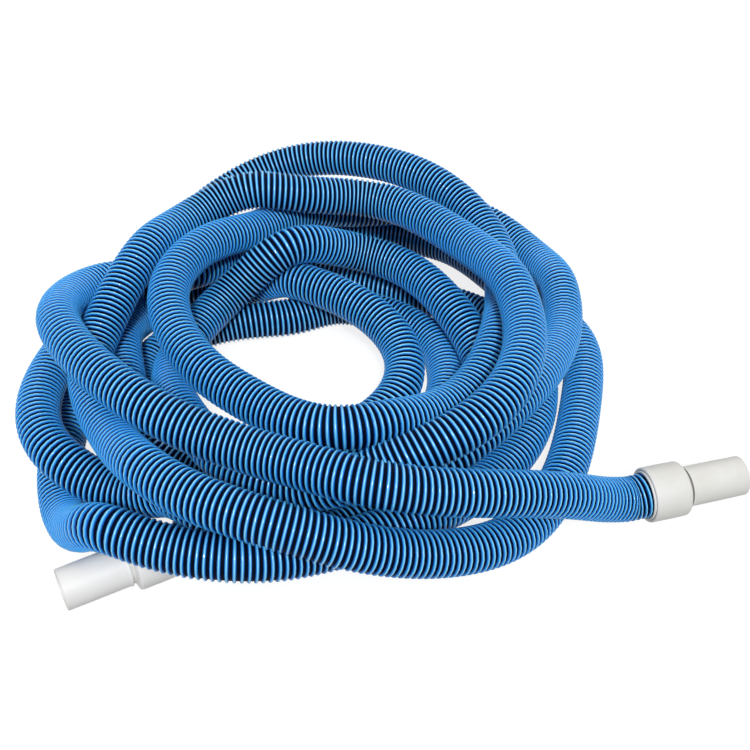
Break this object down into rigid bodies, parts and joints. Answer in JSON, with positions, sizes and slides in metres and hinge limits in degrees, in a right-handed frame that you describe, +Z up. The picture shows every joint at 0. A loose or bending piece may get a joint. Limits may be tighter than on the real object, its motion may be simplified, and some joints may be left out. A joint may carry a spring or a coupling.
{
  "type": "pool vacuum hose",
  "caption": "Flexible ribbed swimming-pool vacuum hose lying in loose turns, with a plain cuff on one end and a freely turning swivel cuff on the other.",
  "frame": {"origin": "bottom centre of the box round the whole hose as it lies, on the ground", "axes": "+Z up; +X along the swivel cuff, out of its nozzle; +Y from the front of the coil to the back"},
  "size_m": [0.7414, 0.7359, 0.183],
  "materials": {
    "hose_blue": "semi-gloss blue helical rib on a dark navy wall",
    "sleeve_white": "moulded off-white, satin",
    "cuff_white": "moulded off-white, satin"
  },
  "bodies": {
    "laid_hose": {"hose": "hose_blue", "swivel_sleeve": "sleeve_white", "fixed_cuff": "cuff_white"},
    "swivel": {"swivel_cuff": "cuff_white"}
  },
  "joints": [
    {"name": "cuff_swivel", "type": "hinge", "parent": "laid_hose", "child": "swivel", "pos_m": [0.2588, -0.3019, 0.0295], "axis": [1, 0, 0], "continuous": true}
  ]
}
